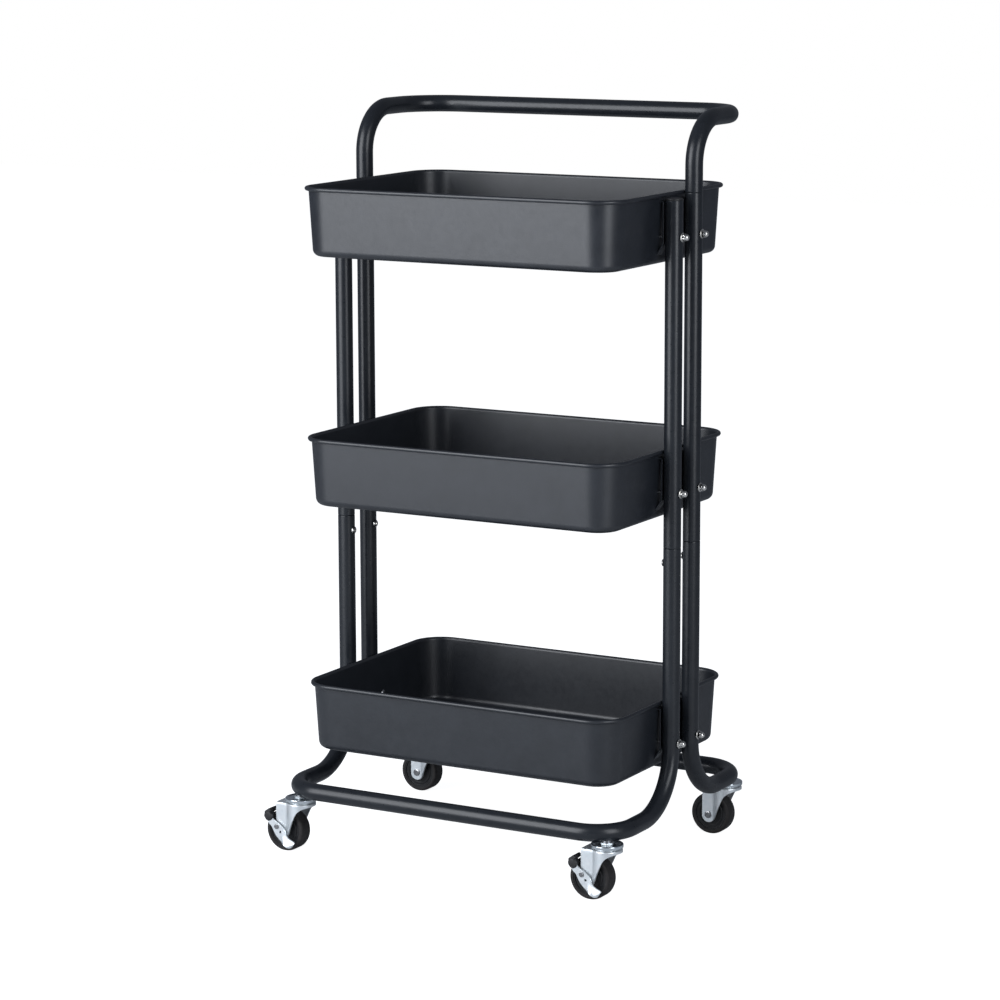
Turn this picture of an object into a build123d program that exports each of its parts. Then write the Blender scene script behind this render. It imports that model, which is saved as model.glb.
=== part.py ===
from build123d import *
from math import sqrt
import os

# Three-tray tool cart on four swivel casters. Millimetres, +Z up, X along the trays' long side.
# The origin is on the floor, in the middle of the four posts. The brake side is -Y.

# --- Frame tube -------------------------------------------------------------------------------
TUBE_R = 10.0
TUBE_WALL = 1.0
BORE_R = TUBE_R - TUBE_WALL
NECK_R = BORE_R - 0.1              # swaged end that slides into the next tube
POST_X = 216.5                     # posts stand against the ends of the trays
POST_Y = 24.5                      # half the spacing between the front and rear posts
FRONT_POST_TOP = 772.0
REAR_POST_TOP = 777.0
JOINT_Z = 380.0                    # upper post meets the base loop's leg
NECK_LENGTH = 36.0
HANDLE_Z = 858.5
HANDLE_Y = 158.0
HANDLE_RISE_R = 52.0
HANDLE_CORNER_R = 55.0
BASE_Z = 78.0
BASE_Y = 166.0
BASE_RISE_R = 69.0
BASE_CORNER_R = 45.0

# --- Trays ------------------------------------------------------------------------------------
RIM_Z = {"top": 777.0, "middle": 488.5, "bottom": 199.5}
RIM_LENGTH = 408.0                 # along the middle of the rolled bead
RIM_WIDTH = 295.0
RIM_CORNER_R = 36.0
BEAD_R = 2.4
WALL_INSET = 2.0                   # bead centre to the outside of the wall
TRAY_DEPTH = 79.0                  # bead centre to the underside
WALL_LEAN = 4.7                    # how far each wall comes in over the depth
SHEET = 0.8
FLOOR_BEND_R = 8.0
LEDGE_WIDTH = 16.0
LEDGE_STEP = 1.5

# --- Brackets and tray bolts ------------------------------------------------------------------
STRIP_WIDTH = 12.0
STRIP_THICK = 1.7
STRIP_FACE_X = POST_X - TUBE_R - 0.1
STRIP_TOP = 6.0                    # drops below the bead centre: top bend, lower bend, welded foot
STRIP_BEND = 54.0
STRIP_FOOT = 67.0
STRIP_FOOT_EDGE = 3.0
STRIP_BEND_R = 3.0
BOLT_DROP = 46.0                   # bolt below the bead centre
BOLT_R = 1.9                       # M4 thread, drawn plain
BOLT_HOLE_R = 1.95
HEAD_R = 4.5
HEAD_THICK = 2.8
HEAD_RIM = 0.8                     # straight edge of the domed head
CROSS_LENGTH = 4.6
CROSS_WIDTH = 0.9
CROSS_DEPTH = 1.5
NUT_FLANGE_R = 5.4
NUT_ACROSS_FLATS = 8.0
NUT_HEX_HEIGHT = 4.6
NUT_HEIGHT = 8.6
NUT_BORE_DEPTH = 6.0
JOINT_SCREW_Z = 362.0
JOINT_SCREW_LENGTH = 7.0

# --- Casters ----------------------------------------------------------------------------------
CASTER_X = 202.5
CASTER_Y = BASE_Y - BASE_CORNER_R + sqrt(BASE_CORNER_R**2 - (CASTER_X - POST_X + BASE_CORNER_R) ** 2)
CASTERS = {"front_left": (-1, -1), "front_right": (1, -1), "rear_left": (-1, 1), "rear_right": (1, 1)}
BRAKED = ("front_left", "front_right")
TRAIL = 17.5                       # the axle lies this far towards -X of the swivel axis
WHEEL_R = 25.0
TYRE_HALF = 9.5
TYRE_SEAT_R = 20.3
HUB_HALF = 11.6
BUSH_R = 4.5
BUSH_BORE_R = 3.06
BUSH_HALF = 12.2
AXLE_R = 3.0
AXLE_HEAD_R = 4.4
AXLE_HEAD_THICK = 1.2
FORK_SHEET = 1.8
LEG_OUT = 14.3                     # wheel's middle plane to the outside of a fork leg
LEG_IN = LEG_OUT - FORK_SHEET
CROWN_R = 17.8
CROWN_TOP = 60.0
CROWN_THICK = 1.6
RACE_TOP = 61.2
BALL_R = 1.5
BALL_RING_R = 13.0
BALL_COUNT = 18
RACE_HALF = 1.6
CAP_R = 18.4
CAP_TOP = 65.7
CAP_UNDER = 64.3
COLLAR_TOP = 67.4
COLLAR_ACROSS_FLATS = 14.0
KINGPIN_R = 4.0
KINGPIN_RUN = 0.06
INSERT_R = 6.0
INSERT_TOP = 84.0
STUD_TOP = 82.0
KINGPIN_FOOT = 58.1
KINGPIN_FOOT_R = 6.0
HEEL_X = -8.0                      # trailing edge of the fork, from the axle
LEG_END = 12.0                     # legs are cut from a skirt this far below the axle

# --- Brake lever ------------------------------------------------------------------------------
PIVOT = (-5.0, 6.0)                # from the axle, along X and Z
PIVOT_R = 1.8
PIVOT_RUN = 0.08
EAR_IN = 17.0
EAR_THICK = 1.5
PAD_MIDDLE = (-17.15, 22.76)
TONGUE_WIDTH = 7.0
TONGUE_REACH = 14.0
TONGUE_THICK = 1.5
PAD_SIZE = (9.4, 5.0)
PEDAL_SIZE = (10.5, 11.5)
PEDAL_SHIFT = (-2.4, -4.8)         # pedal end of the pad from the tongue's middle
PEDAL_IN = 10.2
FOOT_REACH = 4.5                   # foot tab stands out from the ear
# Ear outline from the axle, along X and Z: lower edge from tip to foot, then back along the top.
EAR_LOWER = [
    (-20.6, 20.9),
    (-18.4, 15.4),
    (-16.2, 9.6),
    (-12.2, 5.8),
    (-9.4, 0.8),
    (-6.2, -4.4),
    (-1.4, -9.2),
    (3.5, -12.8),
    (10.0, -15.8),
]
EAR_UPPER = [
    (19.8, -10.4),
    (12.0, -6.8),
    (8.4, -3.0),
    (6.2, 1.8),
    (2.6, 6.0),
    (-2.6, 9.6),
    (-8.6, 13.4),
    (-12.4, 18.6),
    (-14.4, 25.6),
]
FOOT_END = (16.8, -14.6)
FOOT_INNER = [(18.4, -10.6), (15.8, -13.3), (10.1, -14.3), (4.2, -11.4)]

os.makedirs("parts", exist_ok=True)


def save(builder, name):
    builder.part.label = name
    export_step(builder.part, f"parts/{name}.step")


def end_plane(x, y, z, outward):
    """Plane whose normal points along +X or -X."""
    return Plane((x, y, z), x_dir=(0, outward, 0), z_dir=(outward, 0, 0))


def side_plane(x, y, z):
    """Plane with its local axes along X and Z, facing -Y."""
    return Plane((x, y, z), x_dir=(1, 0, 0), z_dir=(0, -1, 0))


def bolt_planes(sx, y, heights):
    """Drilling planes just outside a post, one for each tray bolt."""
    return [end_plane(sx * (POST_X + TUBE_R + 1), y, z, sx) for z in heights]


def joint_plane(sx, y):
    """Drilling plane at the inner side of a leg, where the joint screw goes in."""
    return end_plane(sx * (POST_X - TUBE_R - 1), y, JOINT_SCREW_Z, -sx)


def wall_x(drop):
    """Outside of an end wall, this far below the bead centre."""
    return RIM_LENGTH / 2 - WALL_INSET - WALL_LEAN * drop / TRAY_DEPTH


# --- Posts ------------------------------------------------------------------------------------
bolt_heights = [z - BOLT_DROP for z in RIM_Z.values()]
post_bolts = [z for z in bolt_heights if z > JOINT_Z]
leg_bolts = [z for z in bolt_heights if z < JOINT_Z]

for side, sx in (("left", -1), ("right", 1)):
    for row, sy, top in (("front", -1, FRONT_POST_TOP), ("rear", 1, REAR_POST_TOP)):
        with BuildPart() as post:
            with BuildSketch(Plane((sx * POST_X, sy * POST_Y, JOINT_Z))):
                Circle(TUBE_R)
            extrude(amount=top - JOINT_Z)
            with BuildSketch(Plane((sx * POST_X, sy * POST_Y, JOINT_Z - NECK_LENGTH))):
                Circle(NECK_R)
            extrude(amount=NECK_LENGTH)
            with BuildSketch(Plane((sx * POST_X, sy * POST_Y, JOINT_Z + 2 * TUBE_WALL))):
                Circle(BORE_R)
            extrude(amount=top - JOINT_Z, mode=Mode.SUBTRACT)
            with BuildSketch(Plane((sx * POST_X, sy * POST_Y, JOINT_Z - NECK_LENGTH))):
                Circle(NECK_R - TUBE_WALL)
            extrude(amount=NECK_LENGTH + 2 * TUBE_WALL, mode=Mode.SUBTRACT)
            with Locations(*bolt_planes(sx, sy * POST_Y, post_bolts)):
                Hole(BOLT_HOLE_R, depth=2 * TUBE_R + 2)
            with Locations(joint_plane(sx, sy * POST_Y)):
                Hole(BOLT_HOLE_R, depth=TUBE_R)
        save(post, f"post_{row}_{side}")

# --- Handle: one bent tube whose necked ends sit in the rear posts ------------------------------
handle_corners = [
    (POST_X, POST_Y, REAR_POST_TOP),
    (POST_X, POST_Y, HANDLE_Z),
    (POST_X, HANDLE_Y, HANDLE_Z),
    (-POST_X, HANDLE_Y, HANDLE_Z),
    (-POST_X, POST_Y, HANDLE_Z),
    (-POST_X, POST_Y, REAR_POST_TOP),
]
handle_radii = [HANDLE_RISE_R, HANDLE_CORNER_R, HANDLE_CORNER_R, HANDLE_RISE_R]

with BuildPart() as handle:
    with BuildLine() as handle_path:
        FilletPolyline(*handle_corners, radius=handle_radii)
    with BuildSketch(Plane((POST_X, POST_Y, REAR_POST_TOP))):
        Circle(TUBE_R)
        Circle(BORE_R, mode=Mode.SUBTRACT)
    sweep(path=handle_path.line)
    for sx in (-1, 1):
        with BuildSketch(Plane((sx * POST_X, POST_Y, REAR_POST_TOP - NECK_LENGTH))):
            Circle(NECK_R)
            Circle(NECK_R - TUBE_WALL, mode=Mode.SUBTRACT)
        extrude(amount=NECK_LENGTH)
        with BuildSketch(Plane((sx * POST_X, POST_Y, REAR_POST_TOP))):
            Circle(BORE_R)
            Circle(NECK_R - TUBE_WALL, mode=Mode.SUBTRACT)
        extrude(amount=2 * TUBE_WALL)
save(handle, "handle")

# --- Base loops: legs up to the joints, a bar along the long side at floor level -----------------
for row, sy in (("front", -1), ("rear", 1)):
    loop_corners = [
        (POST_X, sy * POST_Y, JOINT_Z),
        (POST_X, sy * POST_Y, BASE_Z),
        (POST_X, sy * BASE_Y, BASE_Z),
        (-POST_X, sy * BASE_Y, BASE_Z),
        (-POST_X, sy * POST_Y, BASE_Z),
        (-POST_X, sy * POST_Y, JOINT_Z),
    ]
    loop_radii = [BASE_RISE_R, BASE_CORNER_R, BASE_CORNER_R, BASE_RISE_R]
    with BuildPart() as base_loop:
        with BuildLine() as loop_path:
            FilletPolyline(*loop_corners, radius=loop_radii)
        with BuildSketch(Plane((POST_X, sy * POST_Y, JOINT_Z), z_dir=(0, 0, -1))):
            Circle(TUBE_R)
            Circle(BORE_R, mode=Mode.SUBTRACT)
        sweep(path=loop_path.line)
        for sx in (-1, 1):
            with Locations(*bolt_planes(sx, sy * POST_Y, leg_bolts)):
                Hole(BOLT_HOLE_R, depth=2 * TUBE_R + 2)
            with Locations(joint_plane(sx, sy * POST_Y)):
                Hole(BOLT_HOLE_R, depth=TUBE_R)
            with BuildSketch(Plane((sx * CASTER_X, sy * CASTER_Y, BASE_Z - 2 * TUBE_R))):
                Circle(INSERT_R)
            extrude(amount=2 * TUBE_R, mode=Mode.SUBTRACT)
    save(base_loop, f"base_loop_{row}")

# --- Plugs in the open tops of the front posts --------------------------------------------------
with BuildPart() as post_plugs:
    for sx in (-1, 1):
        with BuildSketch(Plane((sx * POST_X, -POST_Y, FRONT_POST_TOP))):
            Circle(TUBE_R)
        extrude(amount=2.2)
        with BuildSketch(Plane((sx * POST_X, -POST_Y, FRONT_POST_TOP - 14))):
            Circle(BORE_R - 0.1)
            Circle(BORE_R - 2.0, mode=Mode.SUBTRACT)
        extrude(amount=14)
    fillet(post_plugs.edges().group_by(Axis.Z)[-1], 1.6)
save(post_plugs, "post_plugs")

# --- Trays: drawn pans with leaning walls, a rolled bead and a stepped floor ---------------------
for level, rim_z in RIM_Z.items():
    under = rim_z - TRAY_DEPTH + LEDGE_STEP
    lean_here = WALL_LEAN * (rim_z - under) / TRAY_DEPTH
    top_length = RIM_LENGTH - 2 * WALL_INSET
    top_width = RIM_WIDTH - 2 * WALL_INSET
    top_corner = RIM_CORNER_R - WALL_INSET
    with BuildPart() as tray:
        with BuildSketch(Plane.XY.offset(under)):
            RectangleRounded(top_length - 2 * lean_here, top_width - 2 * lean_here, top_corner - lean_here)
        with BuildSketch(Plane.XY.offset(rim_z)):
            RectangleRounded(top_length, top_width, top_corner)
        loft()
        fillet(tray.faces().sort_by(Axis.Z)[0].edges(), FLOOR_BEND_R)
        offset(amount=-SHEET, openings=tray.faces().sort_by(Axis.Z)[-1])
        ledge_length = top_length - 2 * lean_here - 2 * LEDGE_WIDTH
        ledge_width = top_width - 2 * lean_here - 2 * LEDGE_WIDTH
        ledge_corner = top_corner - lean_here - LEDGE_WIDTH / 2
        with BuildSketch(Plane.XY.offset(under - LEDGE_STEP)):
            RectangleRounded(ledge_length, ledge_width, ledge_corner)
        extrude(amount=LEDGE_STEP + SHEET / 2)
        with BuildSketch(Plane.XY.offset(under - LEDGE_STEP + SHEET)):
            RectangleRounded(ledge_length - 2 * SHEET, ledge_width - 2 * SHEET, ledge_corner - SHEET)
        extrude(amount=LEDGE_STEP + SHEET, mode=Mode.SUBTRACT)
        with BuildSketch(Plane.XY.offset(rim_z), mode=Mode.PRIVATE) as bead_outline:
            RectangleRounded(RIM_LENGTH, RIM_WIDTH, RIM_CORNER_R)
        bead_path = bead_outline.sketch.faces()[0].outer_wire()
        with BuildSketch(Plane((0, -RIM_WIDTH / 2, rim_z), x_dir=(0, 1, 0), z_dir=(1, 0, 0))):
            Circle(BEAD_R)
        sweep(path=bead_path)
        for sx in (-1, 1):
            drill_x = sx * (wall_x(BOLT_DROP) + 5)
            with Locations(*[end_plane(drill_x, y, rim_z - BOLT_DROP, sx) for y in (-POST_Y, POST_Y)]):
                Hole(BOLT_HOLE_R, depth=10)
    save(tray, f"tray_{level}")

# --- Brackets: four welded straps on each tray, bowed out to meet the posts ----------------------
strap_outline = [
    (wall_x(STRIP_TOP), -STRIP_TOP),
    (STRIP_FACE_X, -STRIP_TOP),
    (STRIP_FACE_X, -STRIP_BEND),
    (wall_x(STRIP_FOOT), -STRIP_FOOT),
    (wall_x(STRIP_FOOT - STRIP_FOOT_EDGE), STRIP_FOOT_EDGE - STRIP_FOOT),
    (STRIP_FACE_X - STRIP_THICK, -STRIP_BEND),
    (STRIP_FACE_X - STRIP_THICK, -STRIP_TOP - STRIP_THICK),
    (wall_x(STRIP_TOP + STRIP_THICK), -STRIP_TOP - STRIP_THICK),
]

for level, rim_z in RIM_Z.items():
    with BuildPart() as brackets:
        for sx in (-1, 1):
            for sy in (-1, 1):
                middle = Plane((0, sy * POST_Y, rim_z), x_dir=(sx, 0, 0), z_dir=(0, -sx, 0))
                with BuildSketch(middle) as strap:
                    with BuildLine():
                        Polyline(*strap_outline, close=True)
                    make_face()
                    outer_corners = strap.vertices().sort_by(Axis.X)[-2:]
                    fillet(outer_corners, STRIP_BEND_R)
                extrude(amount=STRIP_WIDTH / 2, both=True)
                with Locations(end_plane(sx * (STRIP_FACE_X + 1), sy * POST_Y, rim_z - BOLT_DROP, sx)):
                    Hole(BOLT_HOLE_R, depth=STRIP_THICK + 2)
    save(brackets, f"brackets_{level}")

# --- Tray bolts and joint screws: domed heads with a cross recess --------------------------------
head_x = wall_x(BOLT_DROP + HEAD_R) - SHEET - 0.05
nut_x = POST_X + TUBE_R
bolt_places = [(sx, sy * POST_Y, z) for z in bolt_heights for sx in (-1, 1) for sy in (-1, 1)]
joint_places = [(sx, sy * POST_Y, JOINT_SCREW_Z) for sx in (-1, 1) for sy in (-1, 1)]
screw_sets = {
    "tray_bolts": (head_x, nut_x + NUT_BORE_DEPTH - 0.5 - head_x, bolt_places),
    "joint_screws": (POST_X - TUBE_R, JOINT_SCREW_LENGTH, joint_places),
}

for name, (seat, length, places) in screw_sets.items():
    with BuildPart() as screws:
        for sx, y, z in places:
            with BuildSketch(end_plane(sx * seat, y, z, sx)):
                Circle(BOLT_R)
            extrude(amount=length)
            with BuildSketch(Plane((sx * seat, y, z), x_dir=(-sx, 0, 0), z_dir=(0, sx, 0))):
                with BuildLine():
                    Polyline((HEAD_THICK, 0), (0, 0), (0, HEAD_R), (HEAD_RIM, HEAD_R))
                    ThreePointArc((HEAD_RIM, HEAD_R), (0.8 * HEAD_THICK, 0.55 * HEAD_R), (HEAD_THICK, 0))
                make_face()
            revolve(axis=Axis((sx * seat, y, z), (1, 0, 0)))
            with BuildSketch(end_plane(sx * (seat - HEAD_THICK - 1), y, z, sx)):
                Rectangle(CROSS_LENGTH, CROSS_WIDTH)
                Rectangle(CROSS_WIDTH, CROSS_LENGTH)
            extrude(amount=1 + CROSS_DEPTH, mode=Mode.SUBTRACT)
    save(screws, name)

# --- Cap nuts: flange, hexagon and dome against the outside of each post -------------------------
dome_r = NUT_ACROSS_FLATS / 2 - 0.1
dome_start = NUT_HEIGHT - dome_r

with BuildPart() as cap_nuts:
    for sx, y, z in bolt_places:
        with BuildSketch(end_plane(sx * nut_x, y, z, sx)):
            Circle(NUT_FLANGE_R)
        extrude(amount=1.1)
        with BuildSketch(end_plane(sx * nut_x, y, z, sx)):
            RegularPolygon(NUT_ACROSS_FLATS / 2, 6, major_radius=False)
        extrude(amount=NUT_HEX_HEIGHT)
        with BuildSketch(Plane((sx * nut_x, y, z), x_dir=(sx, 0, 0), z_dir=(0, -sx, 0))):
            with BuildLine():
                Polyline((NUT_HEIGHT, 0), (2, 0), (2, dome_r), (dome_start, dome_r))
                RadiusArc((dome_start, dome_r), (NUT_HEIGHT, 0), dome_r)
            make_face()
        revolve(axis=Axis((sx * nut_x, y, z), (1, 0, 0)))
        with BuildSketch(end_plane(sx * nut_x, y, z, sx)):
            Circle(BOLT_R + 0.05)
        extrude(amount=NUT_BORE_DEPTH, mode=Mode.SUBTRACT)
save(cap_nuts, "cap_nuts")

# --- Caster inserts: threaded bushes welded into the base loops ----------------------------------
with BuildPart() as caster_inserts:
    for sx, sy in CASTERS.values():
        with BuildSketch(Plane((sx * CASTER_X, sy * CASTER_Y, COLLAR_TOP))):
            Circle(INSERT_R)
            Circle(KINGPIN_R, mode=Mode.SUBTRACT)
        extrude(amount=INSERT_TOP - COLLAR_TOP)
save(caster_inserts, "caster_inserts")

# --- Casters ------------------------------------------------------------------------------------
crease_x = TRAIL - sqrt(CROWN_R**2 - LEG_OUT**2)
leg_top = CROWN_TOP - WHEEL_R

for name, (sx, sy) in CASTERS.items():
    stem_x = sx * CASTER_X
    stem_y = sy * CASTER_Y
    axle = (stem_x - TRAIL, stem_y, WHEEL_R)
    swivel_axis = Axis((stem_x, stem_y, 0), (0, 0, 1))
    axle_axis = Axis(axle, (0, 1, 0))

    # Stem: stud in the insert, hexagon collar, kingpin and its peened foot under the fork.
    with BuildPart() as stem:
        with BuildSketch(Plane((stem_x, stem_y, COLLAR_TOP))):
            Circle(KINGPIN_R - 0.05)
        extrude(amount=STUD_TOP - COLLAR_TOP)
        with BuildSketch(Plane((stem_x, stem_y, CAP_TOP))):
            RegularPolygon(COLLAR_ACROSS_FLATS / 2, 6, major_radius=False, rotation=20)
        extrude(amount=COLLAR_TOP - CAP_TOP)
        with BuildSketch(Plane((stem_x, stem_y, KINGPIN_FOOT))):
            Circle(KINGPIN_R)
        extrude(amount=CAP_TOP - KINGPIN_FOOT)
        with BuildSketch(Plane((stem_x, stem_y, KINGPIN_FOOT - 2))):
            Circle(KINGPIN_FOOT_R)
        extrude(amount=2)
        fillet(stem.edges().filter_by(GeomType.CIRCLE).group_by(Axis.Z)[0], 1.2)
    save(stem, f"stem_{name}")

    # Swivel cap: pressed dish over the ball ring, fixed to the stem.
    with BuildPart() as swivel_cap:
        with BuildSketch(Plane((stem_x, stem_y, 0), x_dir=(1, 0, 0), z_dir=(0, -1, 0))):
            with BuildLine():
                Polyline(
                    (KINGPIN_R, CAP_UNDER),
                    (CAP_R - 1.6, CAP_UNDER),
                    (CAP_R - 1.6, RACE_TOP + 0.4),
                    (CAP_R, RACE_TOP + 0.4),
                    (CAP_R, CAP_TOP - 1.0),
                    (CAP_R - 1.0, CAP_TOP + 0.1),
                    (CAP_R - 2.8, CAP_TOP + 0.1),
                    (CAP_R - 4.4, CAP_TOP - 0.6),
                    (11.0, CAP_TOP - 0.6),
                    (10.2, CAP_TOP),
                    (KINGPIN_R, CAP_TOP),
                    close=True,
                )
            make_face()
        revolve(axis=swivel_axis)
    save(swivel_cap, f"swivel_cap_{name}")

    # Ball ring between the cap and the fork's raised race.
    with BuildPart() as balls:
        with Locations(Plane((stem_x, stem_y, RACE_TOP + 0.05 + BALL_R))):
            with PolarLocations(BALL_RING_R, BALL_COUNT):
                Sphere(BALL_R)
    save(balls, f"balls_{name}")

    # Fork: crown with a raised race, skirt that follows the crown, two legs to the axle.
    with BuildPart() as fork:
        with BuildSketch(Plane((axle[0], axle[1], WHEEL_R - LEG_END))):
            with BuildLine():
                Line((HEEL_X, -LEG_OUT), (crease_x, -LEG_OUT))
                ThreePointArc((crease_x, -LEG_OUT), (TRAIL + CROWN_R, 0), (crease_x, LEG_OUT))
                Line((crease_x, LEG_OUT), (HEEL_X, LEG_OUT))
                Line((HEEL_X, LEG_OUT), (HEEL_X, -LEG_OUT))
            make_face()
        extrude(amount=leg_top + LEG_END)
        with BuildSketch(Plane((axle[0], axle[1], WHEEL_R - LEG_END))):
            with BuildLine():
                Line((HEEL_X - 4, -LEG_IN), (crease_x, -LEG_IN))
                ThreePointArc((crease_x, -LEG_IN), (TRAIL + CROWN_R - FORK_SHEET, 0), (crease_x, LEG_IN))
                Line((crease_x, LEG_IN), (HEEL_X - 4, LEG_IN))
                Line((HEEL_X - 4, LEG_IN), (HEEL_X - 4, -LEG_IN))
            make_face()
        extrude(amount=leg_top + LEG_END - CROWN_THICK, mode=Mode.SUBTRACT)
        fillet(fork.edges().group_by(Axis.Z)[-1], 1.4)
        with BuildSketch(side_plane(*axle)):
            with BuildLine():
                Line((HEEL_X, leg_top), (HEEL_X, 0))
                ThreePointArc((HEEL_X, 0), (0.6, -9.3), (8.2, -2.5))
                Line((8.2, -2.5), (18.8, 20.2))
                ThreePointArc((18.8, 20.2), (24.6, 27.4), (36.0, 31.4))
                Line((36.0, 31.4), (36.0, leg_top))
                Line((36.0, leg_top), (HEEL_X, leg_top))
            make_face()
        extrude(amount=LEG_OUT + 4, both=True, mode=Mode.INTERSECT)
        with BuildSketch(Plane((stem_x, stem_y, CROWN_TOP))):
            Circle(BALL_RING_R + RACE_HALF)
            Circle(BALL_RING_R - RACE_HALF, mode=Mode.SUBTRACT)
        extrude(amount=RACE_TOP - CROWN_TOP)
        with BuildSketch(Plane((stem_x, stem_y, CROWN_TOP - 4))):
            Circle(KINGPIN_R + KINGPIN_RUN)
        extrude(amount=6, mode=Mode.SUBTRACT)
        with BuildSketch(side_plane(*axle)):
            Circle(AXLE_R)
        extrude(amount=LEG_OUT + 4, both=True, mode=Mode.SUBTRACT)
        if name in BRAKED:
            with BuildSketch(side_plane(axle[0], axle[1] - LEG_OUT - 1, axle[2])):
                with Locations(PIVOT):
                    Circle(PIVOT_R)
            extrude(amount=-FORK_SHEET - 2, mode=Mode.SUBTRACT)
    save(fork, f"fork_{name}")

    # Axle: rivet with a low head outside each leg.
    with BuildPart() as axle_rivet:
        with BuildSketch(side_plane(*axle)):
            Circle(AXLE_R)
        extrude(amount=LEG_OUT, both=True)
        for outward in (-1, 1):
            with BuildSketch(Plane((axle[0], axle[1] + outward * LEG_OUT, axle[2]), z_dir=(0, outward, 0))):
                Circle(AXLE_HEAD_R)
            extrude(amount=AXLE_HEAD_THICK)
        fillet(axle_rivet.edges().sort_by(Axis.Y)[0], 0.8)
        fillet(axle_rivet.edges().sort_by(Axis.Y)[-1], 0.8)
    save(axle_rivet, f"axle_{name}")

    # Hub bush: steel tube that runs on the axle.
    with BuildPart() as hub_bush:
        with BuildSketch(side_plane(*axle)):
            Circle(BUSH_R)
            Circle(BUSH_BORE_R, mode=Mode.SUBTRACT)
        extrude(amount=BUSH_HALF, both=True)
    save(hub_bush, f"hub_bush_{name}")

    # Wheel: moulded centre with a hub, a dished web and a raised ring on each side.
    with BuildPart() as wheel:
        with BuildSketch(Plane(axle)):
            for outward in (-1, 1):
                with BuildLine():
                    Polyline(
                        (BUSH_R, 0),
                        (BUSH_R, outward * HUB_HALF),
                        (6.8, outward * HUB_HALF),
                        (8.2, outward * 8.4),
                        (13.5, outward * 7.6),
                        (14.0, outward * 8.4),
                        (15.6, outward * 8.4),
                        (16.1, outward * 7.4),
                        (18.3, outward * 7.4),
                        (18.9, outward * 8.8),
                        (TYRE_SEAT_R, outward * 8.8),
                        (TYRE_SEAT_R, 0),
                        close=True,
                    )
                make_face()
        revolve(axis=axle_axis)
    save(wheel, f"wheel_{name}")

    # Tyre: solid ring with rounded shoulders.
    with BuildPart() as tyre:
        with BuildSketch(Plane(axle)) as tyre_section:
            with Locations(((TYRE_SEAT_R + WHEEL_R) / 2, 0)):
                Rectangle(WHEEL_R - TYRE_SEAT_R, 2 * TYRE_HALF)
            fillet(tyre_section.vertices().group_by(Axis.X)[-1], 2.4)
        revolve(axis=axle_axis)
    save(tyre, f"tyre_{name}")

    if name not in BRAKED:
        continue

    # Brake pivot: shouldered rivet through the leg that carries the lever.
    pivot = (axle[0] + PIVOT[0], axle[1], axle[2] + PIVOT[1])
    ear_out = EAR_IN + EAR_THICK
    with BuildPart() as brake_pivot:
        with BuildSketch(side_plane(pivot[0], pivot[1] - LEG_IN, pivot[2])):
            Circle(PIVOT_R)
        extrude(amount=ear_out + 0.3 - LEG_IN)
        with BuildSketch(side_plane(pivot[0], pivot[1] - LEG_OUT, pivot[2])):
            Circle(PIVOT_R + 0.9)
        extrude(amount=EAR_IN - LEG_OUT - 0.3)
        with BuildSketch(side_plane(pivot[0], pivot[1] - ear_out - 0.3, pivot[2])):
            Circle(PIVOT_R + 1.1)
        extrude(amount=0.9)
    save(brake_pivot, f"brake_pivot_{name}")

    # Brake lever: flat ear outside the leg, a tongue over the tread and a foot tab at the low end.
    ear_plane = side_plane(axle[0], axle[1] - ear_out, axle[2])
    pad_plane = Plane(
        (axle[0] + PAD_MIDDLE[0], axle[1] - ear_out, axle[2] + PAD_MIDDLE[1]),
        x_dir=(PAD_MIDDLE[1], 0, -PAD_MIDDLE[0]),
        z_dir=(0, -1, 0),
    )
    with BuildPart() as brake_lever:
        with BuildSketch(ear_plane):
            with BuildLine():
                Spline(*EAR_LOWER)
                ThreePointArc(EAR_LOWER[-1], FOOT_END, EAR_UPPER[0])
                Spline(*EAR_UPPER)
                Line(EAR_UPPER[-1], EAR_LOWER[0])
            make_face()
            with Locations(PIVOT):
                Circle(PIVOT_R + PIVOT_RUN, mode=Mode.SUBTRACT)
            Circle(1.6, mode=Mode.SUBTRACT)
        extrude(amount=-EAR_THICK)
        with BuildSketch(pad_plane):
            Rectangle(TONGUE_WIDTH, TONGUE_THICK)
        extrude(amount=-TONGUE_REACH)
        with BuildSketch(ear_plane):
            with BuildLine():
                Line(EAR_LOWER[-2], EAR_LOWER[-1])
                ThreePointArc(EAR_LOWER[-1], FOOT_END, EAR_UPPER[0])
                Line(EAR_UPPER[0], FOOT_INNER[0])
                ThreePointArc(*FOOT_INNER[:3])
                Line(FOOT_INNER[2], FOOT_INNER[3])
                Line(FOOT_INNER[3], EAR_LOWER[-2])
            make_face()
        extrude(amount=FOOT_REACH)
    save(brake_lever, f"brake_lever_{name}")

    # Pedal pad: plastic sleeve moulded round the tongue, with a round pedal end over the ear's tip.
    with BuildPart() as brake_pad:
        with BuildSketch(pad_plane.offset(1.5)):
            with Locations(PEDAL_SHIFT):
                RectangleRounded(*PEDAL_SIZE, 4.8)
        extrude(amount=PEDAL_IN - ear_out - 1.5)
        fillet(brake_pad.edges().group_by(Axis.Y)[0], 1.2)
        with BuildSketch(pad_plane.offset(0.9)):
            RectangleRounded(*PAD_SIZE, 2.2)
        extrude(amount=-TONGUE_REACH - 1.9)
        fillet(brake_pad.edges().group_by(Axis.Y)[-1], 0.9)
        add(brake_lever.part, mode=Mode.SUBTRACT)
    save(brake_pad, f"brake_pad_{name}")
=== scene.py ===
import math

import bpy
import bmesh
from mathutils import Matrix, Vector


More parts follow.
